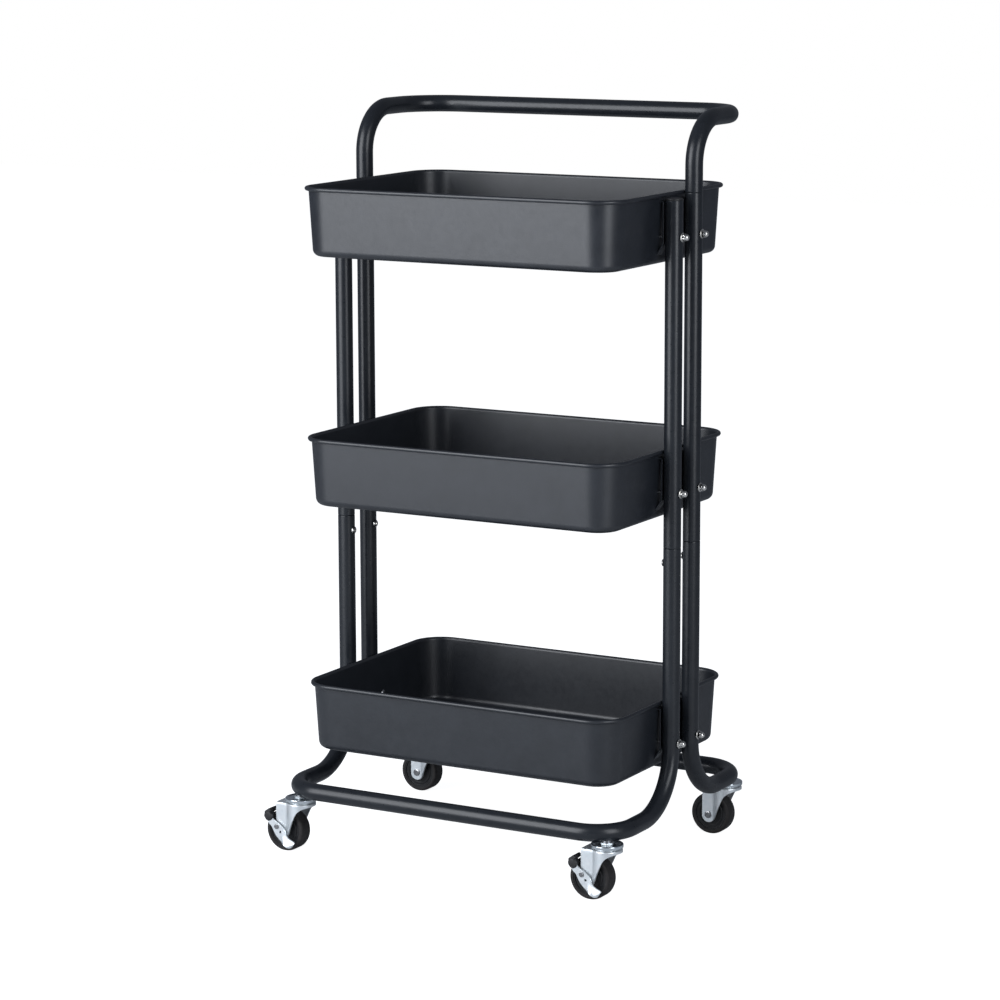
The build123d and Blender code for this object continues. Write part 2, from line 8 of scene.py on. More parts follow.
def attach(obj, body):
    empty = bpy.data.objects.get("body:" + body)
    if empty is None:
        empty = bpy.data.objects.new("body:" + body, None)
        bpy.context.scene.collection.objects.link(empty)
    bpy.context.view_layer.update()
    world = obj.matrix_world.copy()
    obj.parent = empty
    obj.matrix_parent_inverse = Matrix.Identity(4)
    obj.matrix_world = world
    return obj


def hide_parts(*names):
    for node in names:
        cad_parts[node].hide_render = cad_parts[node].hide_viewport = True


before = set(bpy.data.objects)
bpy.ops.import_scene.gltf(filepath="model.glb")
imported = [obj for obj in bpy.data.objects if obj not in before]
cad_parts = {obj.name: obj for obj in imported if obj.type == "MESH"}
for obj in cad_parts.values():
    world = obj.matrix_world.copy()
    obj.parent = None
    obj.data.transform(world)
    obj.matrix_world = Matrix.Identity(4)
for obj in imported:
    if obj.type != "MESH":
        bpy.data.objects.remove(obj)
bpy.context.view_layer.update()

# Three-tray cart. Lengths are in millimetres here and become metres when a mesh is made.
MM = 0.001
TAU = 2 * math.pi
ON_AXIS = 1e-6                              # a ring of a smaller radius is a single point
NEARLY_STRAIGHT = math.pi - 0.02            # a corner more open than this isn't rounded
SIDE_SHARE = 0.49                           # the most of a side that one corner's arc may take
CORNERS = ((1, 1, 0), (-1, 1, 90), (-1, -1, 180), (1, -1, 270))     # signs and first angle of each
HEX_SEGMENTS = 60
SMOOTH_ANGLE, HEX_SMOOTH_ANGLE, SHEET_SMOOTH_ANGLE = 40, 28, 32
BEVEL_STEPS, BEVEL_ANGLE = 3, math.radians(35)

# Frame tubes
TUBE_R, TUBE_WALL, NECK_R, NECK_LENGTH = 10.0, 1.0, 8.9, 36.0
BORE_R, NECK_BORE_R = TUBE_R - TUBE_WALL, NECK_R - TUBE_WALL
POST_X, POST_Y, JOINT_Z = 216.5, 24.5, 380.0
POST_TOP = {"front": 772.0, "rear": 777.0}
HANDLE_Z, HANDLE_Y, HANDLE_RISE_R, HANDLE_CORNER_R = 858.5, 158.0, 52.0, 55.0
BASE_Z, BASE_Y, BASE_RISE_R, BASE_CORNER_R = 78.0, 166.0, 69.0, 45.0
TUBE_EDGE, NECK_CHAMFER, NECK_SHOULDER = 0.7, 0.4, 0.6
EDGE_STATIONS = (0.0, 0.1, 0.35, 0.7)       # rings over a cut end's rounded edge
SHADE_STATIONS = (1.4, 2.6)                 # plain rings that keep the shading beside it straight
PLUG_CROWN, PLUG_DEPTH, PLUG_SKIN, PLUG_GAP = 2.2, 14.0, 1.2, 0.15

# Trays
RIM_Z = {"top": 777.0, "middle": 488.5, "bottom": 199.5}
RIM_HALF_X, RIM_HALF_Y, RIM_CORNER_R, BEAD_R = 204.0, 147.5, 36.0, 2.4
TRAY_DEPTH, WALL_LEAN, WALL_INSET, SHEET = 79.0, 4.7, 2.0, 0.8
LEDGE_DROP, LEDGE_END, LEDGE_CORNER_R, LEDGE_R = 77.5, 22.6, 21.4, 1.4
FLOOR_INSET, FOOT_OUTER_R, FOOT_INNER_R = 30.0, 8.0, 7.2
BEAD_FROM, BEAD_TO, BEAD_STEPS = -34, -326, 26
STRIP_FACE_X, STRIP_THICK, STRIP_WIDTH = 206.4, 1.7, 12.0
STRIP_TOP, STRIP_BEND, STRIP_FOOT, STRIP_FOOT_THICK = 6.0, 54.0, 67.0, 3.0

# Screws and nuts
BOLT_DROP, BOLT_R, HEAD_R, HEAD_THICK = 46.0, 1.9, 4.5, 2.8
NUT_X, NUT_FLANGE_R, NUT_FLATS, NUT_HEIGHT = 226.5, 5.4, 8.0, 8.6
NUT_DOME_R, NUT_BORE_DEPTH = 3.88, 6.0
BOLT_PAST_NUT_FACE = 5.5
RECESS_HIGH, RECESS_LOW = (2.5, 0.5, -4.0), (1.7, 0.36, -1.0)      # half length, half width and height
JOINT_SCREW_Z, JOINT_SCREW_LENGTH = 362.0, 7.0
BOLT_SPIN, JOINT_SPIN = 0.7, 0.9            # radians that each screw is turned past the one before

# Casters
CASTER_X = 202.5
CASTER_Y = BASE_Y - BASE_CORNER_R + math.sqrt(BASE_CORNER_R**2 - (CASTER_X - POST_X + BASE_CORNER_R) ** 2)
CASTERS = {"front_left": (-1, -1), "front_right": (1, -1), "rear_left": (-1, 1), "rear_right": (1, 1)}
BRAKED = ("front_left", "front_right")
TRAIL, WHEEL_R, TYRE_HALF, TYRE_SEAT_R = 17.5, 25.0, 9.5, 20.3
LEG_OUT, FORK_SHEET, CROWN_R, CROWN_TOP, HEEL_X = 14.3, 1.8, 17.8, 60.0, -8.0
CROWN_BEND_R = 1.6
FORK_FOOT = ((HEEL_X, 0.0), (0.6, -9.3), (8.2, -2.5))              # arc round the axle, about its middle
FORK_FRONT = ((18.8, 20.2), (24.6, 27.4), (36.0, 31.4))            # arc under the front of the skirt
KINGPIN_BORE_R, AXLE_BORE_R, PIVOT_BORE_R = 4.06, 3.0, 1.8
STEM_TOP, STEM_R, SHANK_R, COLLAR_FLATS, COLLAR_SPIN = 82.0, 3.95, 4.0, 14.0, 0.35
KINGPIN_FOOT = 9.6                          # foot of the kingpin's head under the top of the dish
RACE_TOP, BALL_R, BALL_RING_R, BALL_COUNT = 61.2, 1.5, 13.0, 18
RACE_HALF, CAP_R, CAP_TOP, CAP_UNDER, COLLAR_TOP = 1.6, 18.4, 65.7, 64.3, 67.4
RACE_DROP, BALL_GAP = 1.4, 0.05
AXLE_R, AXLE_HEAD_R, AXLE_END, AXLE_SEAT = 3.0, 4.4, 15.5, 14.32
HUB_R, HUB_HALF, BUSH_BORE_R, BUSH_HALF = 4.5, 11.6, 3.06, 12.2
PIVOT = (-5.0, 6.0)
EAR_IN, EAR_THICK = 17.0, 1.5
EAR_HOLE_R, SIGHT_HOLE_R = 1.88, 1.6
# the ear's two edges from its tip to its foot, about the axle's middle
EAR_LOWER = [(-20.6, 20.9), (-18.4, 15.4), (-16.2, 9.6), (-12.2, 5.8), (-9.4, 0.8), (-6.2, -4.4),
             (-1.4, -9.2), (3.5, -12.8), (10.0, -15.8), (13.6, -16.1), (16.8, -14.6)]
EAR_UPPER = [(-14.4, 25.6), (-12.4, 18.6), (-8.6, 13.4), (-2.6, 9.6), (2.6, 6.0), (6.2, 1.8),
             (8.4, -3.0), (12.0, -6.8), (18.4, -9.8), (19.6, -11.6)]
FOOT_FROM, FOOT_TO, FOOT_OUT = 0.0, 8.0, 4.3       # the foot's flare begins, is full, and its reach outward
PAD_MIDDLE = (-17.15, 22.76)
SHOE_SIZE, SHOE_R, SHOE_HIGH, SHOE_LOW, SHOE_EDGE = (9.4, 5.0), 2.2, 0.9, -15.0, 0.8
PEDAL_SHIFT, PEDAL_SIZE = (-2.4, -4.8), (10.5, 11.5)
PEDAL_R, PEDAL_HIGH, PEDAL_LOW, PEDAL_EDGE = 4.8, 1.5, -8.2, 1.4
TONGUE_HALF, TONGUE_THICK, TONGUE_REACH = 3.5, 1.5, 13.5

# Studio and camera, in metres; the lens and sensor in millimetres
FLOOR_HALF = 8
FLOOR_GLOW = 0.92
FLOOR_TONES = ((0.64, 0.66, 0.68), (0.68, 0.70, 0.72))
ROOM_COLOUR, ROOM_STRENGTH = (0.80, 0.86, 1.0), 0.16
LAMP_COLOUR = (0.97, 1.0, 1.05)
CAMERA_YAW, CAMERA_PITCH, CAMERA_ROLL = math.radians(29.51), math.radians(10.17), math.radians(-0.16)
CAMERA_DISTANCE, CAMERA_TARGET = 3.9056, Vector((-0.02026, 0.0, 0.41046))
CAMERA_LENS, CAMERA_SENSOR, CAMERA_REACH = 120.51, 36.0, 50


# ------------------------------------------------------------------ mesh tools
def unit2(a, b):
    """Direction and distance from one 2-D point to another."""
    dx, dy = b[0] - a[0], b[1] - a[1]
    length = math.hypot(dx, dy)
    return (dx / length, dy / length), length


def sweep(cx, cy, r, start, turn, n):
    """Points along an arc from an angle through a turn, in radians."""
    return [(cx + r * math.cos(start + turn * k / n), cy + r * math.sin(start + turn * k / n))
            for k in range(n + 1)]


def rounded(points, radii, closed=False, step=math.radians(12)):
    """A 2-D polyline with each inner corner turned into an arc."""
    out = []
    count = len(points)
    for i, p in enumerate(points):
        r = radii[i] if isinstance(radii, (list, tuple)) else radii
        if r <= 0 or (not closed and i in (0, count - 1)):
            out.append(tuple(p))
            continue
        (ux, uy), la = unit2(p, points[i - 1])
        (vx, vy), lb = unit2(p, points[(i + 1) % count])
        angle = math.acos(max(-1.0, min(1.0, ux * vx + uy * vy)))
        if angle > NEARLY_STRAIGHT:
            out.append(tuple(p))
            continue
        reach = min(r / math.tan(angle / 2), SIDE_SHARE * la, SIDE_SHARE * lb)
        r = reach * math.tan(angle / 2)
        bx, by = ux + vx, uy + vy
        b_len = math.hypot(bx, by)
        away = r / math.sin(angle / 2)
        cx, cy = p[0] + bx / b_len * away, p[1] + by / b_len * away
        a0 = math.atan2(p[1] + uy * reach - cy, p[0] + ux * reach - cx)
        a1 = math.atan2(p[1] + vy * reach - cy, p[0] + vx * reach - cx)
        turn = (a1 - a0 + math.pi) % TAU - math.pi
        out += sweep(cx, cy, r, a0, turn, max(2, math.ceil(abs(turn) / step)))
    return out


def mirrored(half, radii):
    """Outline from its first half and that half mirrored in height, with the corner radii to match."""
    return half + [(r, -h) for r, h in reversed(half)], radii + radii[::-1]


def arc2(cx, cy, r, a0, a1, n):
    """Points on an arc, angles in degrees."""
    return [(cx + r * math.cos(math.radians(a0 + (a1 - a0) * k / n)),
             cy + r * math.sin(math.radians(a0 + (a1 - a0) * k / n))) for k in range(n + 1)]


def arc_through(a, b, c, n):
    """Points on the circle through three 2-D points, from a to c but without a."""
    (ax, ay), (bx, by), (cx, cy) = a, b, c
    d = 2 * (ax * (by - cy) + bx * (cy - ay) + cx * (ay - by))
    ux = ((ax**2 + ay**2) * (by - cy) + (bx**2 + by**2) * (cy - ay) + (cx**2 + cy**2) * (ay - by)) / d
    uy = ((ax**2 + ay**2) * (cx - bx) + (bx**2 + by**2) * (ax - cx) + (cx**2 + cy**2) * (bx - ax)) / d
    a0, a1, a2 = (math.atan2(y - uy, x - ux) for x, y in (a, b, c))
    turn = (a2 - a0) % TAU
    if (a1 - a0) % TAU > turn:
        turn -= TAU
    return sweep(ux, uy, math.hypot(ax - ux, ay - uy), a0, turn, n)[1:]


def smooth_curve(points, per_span):
    """Catmull-Rom curve through 2-D points."""
    pts = [Vector(p) for p in points]
    pts = [2 * pts[0] - pts[1], *pts, 2 * pts[-1] - pts[-2]]
    out = []
    for i in range(1, len(pts) - 2):
        a, b, c, d = pts[i - 1:i + 3]
        for k in range(per_span):
            t = k / per_span
            curve = 2 * b + (c - a) * t + (2 * a - 5 * b + 4 * c - d) * t**2
            out.append(0.5 * (curve + (3 * b - a - 3 * c + d) * t**3))
    return out + [pts[-2]]


def resample(points, count):
    """The same 2-D curve as evenly spaced points."""
    lengths = [0.0]
    for a, b in zip(points, points[1:]):
        lengths.append(lengths[-1] + (b - a).length)
    out, j = [], 0
    for k in range(count):
        target = lengths[-1] * k / (count - 1)
        while j < len(points) - 2 and lengths[j + 1] < target:
            j += 1
        span = lengths[j + 1] - lengths[j]
        out.append(points[j].lerp(points[j + 1], (target - lengths[j]) / span if span else 0))
    return out


def supported(points, margin, least):
    """Polyline with added points near the ends of its long spans, which keeps their shading flat."""
    out = [points[0]]
    for a, b in zip(points, points[1:]):
        length = math.dist(a, b)
        if length > least:
            out.append(tuple(p + (q - p) * margin / length for p, q in zip(a, b)))
            out.append(tuple(q - (q - p) * margin / length for p, q in zip(a, b)))
        out.append(b)
    return out


class Build:
    """Vertices and faces of one mesh, gathered ring by ring."""

    def __init__(self):
        self.verts = []
        self.faces = []

    def ring(self, points):
        start = len(self.verts)
        self.verts += [tuple(p) for p in points]
        return list(range(start, len(self.verts)))

    def bridge(self, a, b):
        """Quads between two closed rings, or a fan where one ring is a single point."""
        if len(a) == 1 or len(b) == 1:
            n = max(len(a), len(b))
            for i in range(n):
                j = (i + 1) % n
                self.faces.append((a[0], b[j], b[i]) if len(a) == 1 else (a[i], a[j], b[0]))
            return
        n = len(a)
        for i in range(n):
            j = (i + 1) % n
            self.faces.append((a[i], a[j], b[j], b[i]))

    def skin(self, rings, loop=False, cap_start=False, cap_end=False):
        for a, b in zip(rings, rings[1:]):
            self.bridge(a, b)
        if loop:
            self.bridge(rings[-1], rings[0])
        if cap_start:
            self.faces.append(tuple(reversed(rings[0])))
        if cap_end:
            self.faces.append(tuple(rings[-1]))

    def add(self, other, matrix):
        """A transformed copy of another build."""
        base = len(self.verts)
        self.verts += [tuple(matrix @ Vector(v)) for v in other.verts]
        self.faces += [tuple(base + i for i in face) for face in other.faces]


def hex_radius(angle, flats):
    """Distance from the middle of a hexagon to its outline."""
    turn = (angle + math.pi / 6) % (math.pi / 3) - math.pi / 6
    return flats / 2 / math.cos(turn)


def turned(stack, segments, loop=False, flats=0.0, spin=0.0):
    """Build turned about Z from (radius, height, hexed) rings; a hexed ring is cut to a hexagon."""
    made = Build()
    rings = []
    for r, z, hexed in stack:
        if r < ON_AXIS:
            rings.append(made.ring([(0, 0, z)]))
            continue
        points = []
        for k in range(segments):
            angle = TAU * k / segments
            rr = min(r, hex_radius(angle, flats)) if hexed else r
            points.append((rr * math.cos(angle + spin), rr * math.sin(angle + spin), z))
        rings.append(made.ring(points))
    made.skin(rings, loop=loop)
    return made


def lathe(profile, segments=64, loop=False):
    """Build turned about Z from (radius, height) points."""
    profile = supported(profile + profile[:1] if loop else profile, 0.25, 1.0)
    return turned([(r, z, False) for r, z in (profile[:-1] if loop else profile)], segments, loop)


def placed(build, matrix):
    """A moved copy of a build."""
    made = Build()
    made.add(build, matrix)
    return made


def plate(outline, depth):
    """Build of a flat outline in XY, from z = 0 down to -depth."""
    made = Build()
    top = made.ring([(x, y, 0) for x, y in outline])
    low = made.ring([(x, y, -depth) for x, y in outline])
    made.skin([low, top], cap_start=True, cap_end=True)
    return made


def plane_matrix(origin, x_axis, z_axis):
    """Local frame with the given X and Z directions."""
    x, z = Vector(x_axis).normalized(), Vector(z_axis).normalized()
    y = z.cross(x)
    m = Matrix((x, y, z)).transposed().to_4x4()
    m.translation = Vector(origin)
    return m


def mesh_of(name, build):
    """Mesh of a build, in metres, with its faces turned outward."""
    mesh = bpy.data.meshes.new(name)
    mesh.from_pydata([Vector(v) * MM for v in build.verts], [], build.faces)
    work = bmesh.new()
    work.from_mesh(mesh)
    bmesh.ops.remove_doubles(work, verts=work.verts, dist=1e-7)
    bmesh.ops.recalc_face_normals(work, faces=work.faces)
    work.to_mesh(mesh)
    work.free()
    return mesh


def finish_mesh(mesh, angle):
    """Smooth shading with edges sharper than the angle, in degrees, left crisp."""
    mesh.polygons.foreach_set("use_smooth", [True] * len(mesh.polygons))
    mesh.set_sharp_from_angle(angle=math.radians(angle))


def piece(name, build, body, paint, nodes, bevel=0.0, angle=SMOOTH_ANGLE):
    """One finished object riding on a body and standing for its CAD nodes."""
    mesh = build if isinstance(build, bpy.types.Mesh) else mesh_of(name, build)
    mesh.name = name
    finish_mesh(mesh, angle)
    mesh.materials.clear()
    mesh.materials.append(paint)
    made = bpy.data.objects.new(name, mesh)
    bpy.context.scene.collection.objects.link(made)
    if bevel:
        soft = made.modifiers.new("soft_edges", "BEVEL")
        soft.width = bevel * MM
        soft.segments = BEVEL_STEPS
        soft.limit_method = "ANGLE"
        soft.angle_limit = BEVEL_ANGLE
        soft.harden_normals = True
    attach(made, body)
    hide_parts(*nodes)


def helper(name, build):
    """Linked object of a build, there only to carry or feed modifiers."""
    made = bpy.data.objects.new(name, mesh_of(name, build))
    bpy.context.scene.collection.objects.link(made)
    return made


def applied(base, *others):
    """Mesh of a helper with its modifiers applied. The helpers are removed."""
    bpy.context.view_layer.update()
    result = bpy.data.meshes.new_from_object(base.evaluated_get(bpy.context.evaluated_depsgraph_get()))
    for old in (base, *others):
        data = old.data
        bpy.data.objects.remove(old)
        bpy.data.meshes.remove(data)
    return result


def cut(build, cutters, operation="DIFFERENCE"):
    """Mesh of a build with other builds taken away or joined."""
    base = helper("cut_base", build)
    tools = [helper("cut_tool", cutter) for cutter in cutters]
    for tool in tools:
        step = base.modifiers.new("cut", "BOOLEAN")
        step.operation = operation
        step.solver = "EXACT"
        step.object = tool
    return applied(base, *tools)


def thicken(build, thickness, side):
    """Build of a sheet given its thickness to one side: -1 behind its faces, 1 in front of them."""
    sheet = helper("sheet", build)
    step = sheet.modifiers.new("thickness", "SOLIDIFY")
    step.thickness = thickness * MM
    step.offset = side
    step.use_even_offset = True
    return build_of(applied(sheet))


def build_of(mesh):
    """The build held in a mesh, back in millimetres."""
    made = Build()
    made.verts = [tuple(v.co / MM) for v in mesh.vertices]
    made.faces = [tuple(p.vertices) for p in mesh.polygons]
    return made


# ------------------------------------------------------------------ materials
NOISE_LOW, NOISE_HIGH = 0.3, 0.7            # most of a noise texture's values lie between these
TONE_DETAIL, GLOSS_DETAIL, GRAIN_DETAIL = 4.0, 3.0, 2.0


def empty_tree(owner):
    """Nodes and links of a material or world, with its first nodes removed."""
    owner.use_nodes = True
    owner.node_tree.nodes.clear()
    return owner.node_tree.nodes, owner.node_tree.links


def noise(nodes, links, place, scale, detail):
    """Value of a noise texture in object space."""
    made = nodes.new("ShaderNodeTexNoise")
    made.inputs["Scale"].default_value = scale
    made.inputs["Detail"].default_value = detail
    links.new(place.outputs["Object"], made.inputs["Vector"])
    return made.outputs["Fac"]


def two_tones(nodes, links, value, tones, low, high):
    """Colour that runs between two tones as a value goes from low to high."""
    made = nodes.new("ShaderNodeValToRGB")
    for end, position, tone in zip(made.color_ramp.elements, (low, high), tones):
        end.position = position
        end.color = (*tone, 1)
    links.new(value, made.inputs["Fac"])
    return made.outputs["Color"]


def node_material(name, shader_inputs, tones, tone_scale, rough, rough_scale, grain_scale, grain_height):
    """Principled surface whose tone, roughness and fine relief come from noise in object space."""
    made = bpy.data.materials.new(name)
    nodes, links = empty_tree(made)
    out = nodes.new("ShaderNodeOutputMaterial")
    shader = nodes.new("ShaderNodeBsdfPrincipled")
    links.new(shader.outputs["BSDF"], out.inputs["Surface"])
    for key, value in shader_inputs.items():
        shader.inputs[key].default_value = value
    place = nodes.new("ShaderNodeTexCoord")

    tone = noise(nodes, links, place, tone_scale, TONE_DETAIL)
    colour = two_tones(nodes, links, tone, tones, NOISE_LOW, NOISE_HIGH)
    links.new(colour, shader.inputs["Base Color"])

    gloss = noise(nodes, links, place, rough_scale, GLOSS_DETAIL)
    span = nodes.new("ShaderNodeMapRange")
    span.inputs["From Min"].default_value = NOISE_LOW
    span.inputs["From Max"].default_value = NOISE_HIGH
    span.inputs["To Min"].default_value = rough[0]
    span.inputs["To Max"].default_value = rough[1]
    links.new(gloss, span.inputs["Value"])
    links.new(span.outputs["Result"], shader.inputs["Roughness"])

    grain = noise(nodes, links, place, grain_scale, GRAIN_DETAIL)
    bump = nodes.new("ShaderNodeBump")
    bump.inputs["Strength"].default_value = 1.0
    bump.inputs["Distance"].default_value = grain_height
    links.new(grain, bump.inputs["Height"])
    links.new(bump.outputs["Normal"], shader.inputs["Normal"])
    return made


FRAME_PAINT = node_material(
    "frame_powder_coat", {"Metallic": 0.0, "Specular IOR Level": 0.5},
    tones=((0.011, 0.0135, 0.018), (0.016, 0.019, 0.024)), tone_scale=60, rough=(0.27, 0.33),
    rough_scale=240, grain_scale=900, grain_height=0.000008)
TRAY_PAINT = node_material(
    "tray_powder_coat", {"Metallic": 0.0, "Specular IOR Level": 0.7},
    tones=((0.012, 0.0145, 0.0195), (0.017, 0.020, 0.026)), tone_scale=45, rough=(0.33, 0.40),
    rough_scale=200, grain_scale=850, grain_height=0.000008)
ZINC = node_material(
    "zinc_plate", {"Metallic": 0.82, "Specular IOR Level": 0.7},
    tones=((0.84, 0.90, 0.93), (0.92, 0.95, 0.97)), tone_scale=120, rough=(0.33, 0.40),
    rough_scale=300, grain_scale=700, grain_height=0.0000008)
CAP_ZINC = node_material(
    "cap_zinc_plate", {"Metallic": 1.0},
    tones=((0.70, 0.77, 0.82), (0.82, 0.87, 0.90)), tone_scale=140, rough=(0.14, 0.21),
    rough_scale=300, grain_scale=800, grain_height=0.000001)
NICKEL = node_material(
    "bright_nickel", {"Metallic": 1.0},
    tones=((0.70, 0.68, 0.64), (0.80, 0.79, 0.76)), tone_scale=300, rough=(0.10, 0.18),
    rough_scale=600, grain_scale=2400, grain_height=0.000002)
DARK_STEEL = node_material(
    "dark_plated_steel", {"Metallic": 1.0},
    tones=((0.30, 0.30, 0.31), (0.42, 0.42, 0.43)), tone_scale=300, rough=(0.20, 0.32),
    rough_scale=700, grain_scale=2600, grain_height=0.000003)
WHEEL_BLACK = node_material(
    "wheel_plastic", {"Metallic": 0.0, "Specular IOR Level": 0.5},
    tones=((0.007, 0.007, 0.008), (0.011, 0.011, 0.0125)), tone_scale=220, rough=(0.32, 0.44),
    rough_scale=500, grain_scale=2200, grain_height=0.000008)
TYRE_BLACK = node_material(
    "tyre_rubber", {"Metallic": 0.0, "Specular IOR Level": 0.4},
    tones=((0.014, 0.0125, 0.0125), (0.024, 0.021, 0.0205)), tone_scale=240, rough=(0.46, 0.62),
    rough_scale=420, grain_scale=1800, grain_height=0.00002)
PAD_BLACK = node_material(
    "pad_plastic", {"Metallic": 0.0, "Specular IOR Level": 0.5},
    tones=((0.012, 0.012, 0.013), (0.020, 0.020, 0.022)), tone_scale=260, rough=(0.38, 0.52),
    rough_scale=500, grain_scale=2400, grain_height=0.00001)


# ------------------------------------------------------------------ tubes
def bent_path(corners, radii, step=math.radians(3)):
    """Points and directions along a 3-D polyline with rounded corners."""
    corners = [Vector(c) for c in corners]
    points, tangents = [corners[0]], [(corners[1] - corners[0]).normalized()]
    for i, r in enumerate(radii, start=1):
        p = corners[i]
        u = (corners[i - 1] - p).normalized()
        v = (corners[i + 1] - p).normalized()
        angle = u.angle(v)
        reach = r / math.tan(angle / 2)
        centre = p + (u + v).normalized() * (r / math.sin(angle / 2))
        a = p + u * reach - centre
        axis = a.cross(p + v * reach - centre).normalized()
        turn = math.pi - angle
        n = math.ceil(turn / step)
        for k in range(n + 1):
            spin = Matrix.Rotation(turn * k / n, 3, axis)
            arm = spin @ a
            points.append(centre + arm)
            tangents.append(axis.cross(arm).normalized())
    points.append(corners[-1])
    tangents.append((corners[-1] - corners[-2]).normalized())
    return points, tangents


def tube(points, tangents, start_rings, end_rings, bore, segments=56):
    """Closed tube wall along a path. Start and end rings are (distance along the end's tangent, radius)."""
    frames = []
    side = tangents[0].orthogonal().normalized()
    for t in tangents:
        side = (side - t * side.dot(t)).normalized()
        frames.append((side.copy(), t.cross(side)))
    made = Build()

    def circle(centre, axes, r):
        a, b = axes
        return made.ring([centre + (a * math.cos(TAU * k / segments) + b * math.sin(TAU * k / segments)) * r
                          for k in range(segments)])

    rings = [circle(points[0] + tangents[0] * s, frames[0], r) for s, r in start_rings]
    rings += [circle(p, f, TUBE_R) for p, f in zip(points[1:-1], frames[1:-1])]
    rings += [circle(points[-1] + tangents[-1] * s, frames[-1], r) for s, r in end_rings]
    inner_start = points[0] + tangents[0] * start_rings[0][0]
    inner_end = points[-1] + tangents[-1] * end_rings[-1][0]
    rings.append(circle(inner_end, frames[-1], bore))
    rings += [circle(p, f, bore) for p, f in reversed(list(zip(points[1:-1], frames[1:-1])))]
    rings.append(circle(inner_start, frames[0], bore))
    made.skin(rings, loop=True)
    return made


def edge_radius(s):
    """Outer radius of a tube this far from its cut end, whose edge is rounded."""
    return TUBE_R - TUBE_EDGE + math.sqrt(max(0.0, TUBE_EDGE**2 - (TUBE_EDGE - s) ** 2))


def u_path(leg_y, bar_y, end_z, bar_z, rise_r, corner_r):
    """Path from the right post's line out to a bar along X and back to the left post's line."""
    right = [(POST_X, leg_y, end_z), (POST_X, leg_y, bar_z), (POST_X, bar_y, bar_z)]
    left = [(-x, y, z) for x, y, z in reversed(right)]
    return bent_path(right + left, [rise_r, corner_r, corner_r, rise_r])


OPEN_START = [(s, edge_radius(s)) for s in EDGE_STATIONS] + [(s, TUBE_R) for s in SHADE_STATIONS]
OPEN_END = [(-s, r) for s, r in reversed(OPEN_START)]
NECK_START = [(-NECK_LENGTH, NECK_R - NECK_CHAMFER), (-NECK_LENGTH + NECK_CHAMFER, NECK_R),
              (-NECK_SHOULDER, NECK_R), (0.0, NECK_R)] + OPEN_START
NECK_END = [(-s, r) for s, r in reversed(NECK_START)]
UP = Vector((0, 0, 1))

for side, sx in (("left", -1), ("right", 1)):
    for row, sy in (("front", -1), ("rear", 1)):
        foot = Vector((sx * POST_X, sy * POST_Y, JOINT_Z))
        top = Vector((sx * POST_X, sy * POST_Y, POST_TOP[row]))
        post = tube([foot, foot.lerp(top, 0.5), top], [UP, UP, UP], NECK_START, OPEN_END, NECK_BORE_R)
        piece(f"post_{row}_{side}_tube", post, "frame", FRAME_PAINT, [f"post_{row}_{side}"])

handle_path = u_path(POST_Y, HANDLE_Y, POST_TOP["rear"], HANDLE_Z, HANDLE_RISE_R, HANDLE_CORNER_R)
piece("handle_tube", tube(*handle_path, NECK_START, NECK_END, NECK_BORE_R), "frame", FRAME_PAINT,
      ["handle"])

for row, sy in (("front", -1), ("rear", 1)):
    loop_path = u_path(sy * POST_Y, sy * BASE_Y, JOINT_Z, BASE_Z, BASE_RISE_R, BASE_CORNER_R)
    piece(f"base_loop_{row}_tube", tube(*loop_path, OPEN_START, OPEN_END, BORE_R), "frame", FRAME_PAINT,
          [f"base_loop_{row}"])

plug_profile = rounded([(0, PLUG_CROWN), (TUBE_R, PLUG_CROWN), (TUBE_R, 0), (BORE_R - PLUG_GAP, 0),
                        (BORE_R - PLUG_GAP, 0.8 - PLUG_DEPTH), (BORE_R - 1.0, -PLUG_DEPTH),
                        (BORE_R - 2.0, -PLUG_DEPTH), (BORE_R - 2.0, -PLUG_SKIN), (0, -PLUG_SKIN)],
                       [0, 1.6, 0.3, 0, 0.5, 0.5, 0, 0.6, 0])
plugs = Build()
for sx in (-1, 1):
    plugs.add(lathe(plug_profile), Matrix.Translation((sx * POST_X, -POST_Y, POST_TOP["front"])))
piece("post_plug_pair", plugs, "frame", PAD_BLACK, ["post_plugs"])


# ------------------------------------------------------------------ trays
def tray_ring(made, inset, z, steps=18):
    """Rounded rectangle this far inside the bead's centre line."""
    r = max(RIM_CORNER_R - inset, LEDGE_CORNER_R)
    hx, hy = RIM_HALF_X - inset - r, RIM_HALF_Y - inset - r
    points = []
    for sx, sy, start in CORNERS:
        points += arc2(sx * hx, sy * hy, r, start, start + 90, steps)
    points = supported(points + points[:1], 1.5, 60.0)[:-1]
    return made.ring([(x, y, z) for x, y in points])


wall_foot = WALL_INSET + WALL_LEAN * LEDGE_DROP / TRAY_DEPTH
# (inset, height) from the middle of the floor's underside out, up round the bead and back inside
under_side = rounded([(FLOOR_INSET, -TRAY_DEPTH), (LEDGE_END + 1.6, -TRAY_DEPTH),
                      (LEDGE_END - 0.6, -LEDGE_DROP), (wall_foot, -LEDGE_DROP),
                      (WALL_INSET + 0.07, -1.9)],
                     [0, LEDGE_R, LEDGE_R, FOOT_OUTER_R, 0])
inner_side = rounded([(WALL_INSET + SHEET + 0.02, -0.2), (wall_foot + SHEET, -LEDGE_DROP + SHEET),
                      (LEDGE_END - 0.2, -LEDGE_DROP + SHEET), (LEDGE_END + 2.0, -TRAY_DEPTH + SHEET),
                      (FLOOR_INSET, -TRAY_DEPTH + SHEET)],
                     [0, FOOT_INNER_R, LEDGE_R, LEDGE_R, 0])
bead = arc2(0, 0, BEAD_R, BEAD_FROM, BEAD_TO, BEAD_STEPS)
tray_profile = supported(under_side + bead + inner_side, 0.6, 2.5)

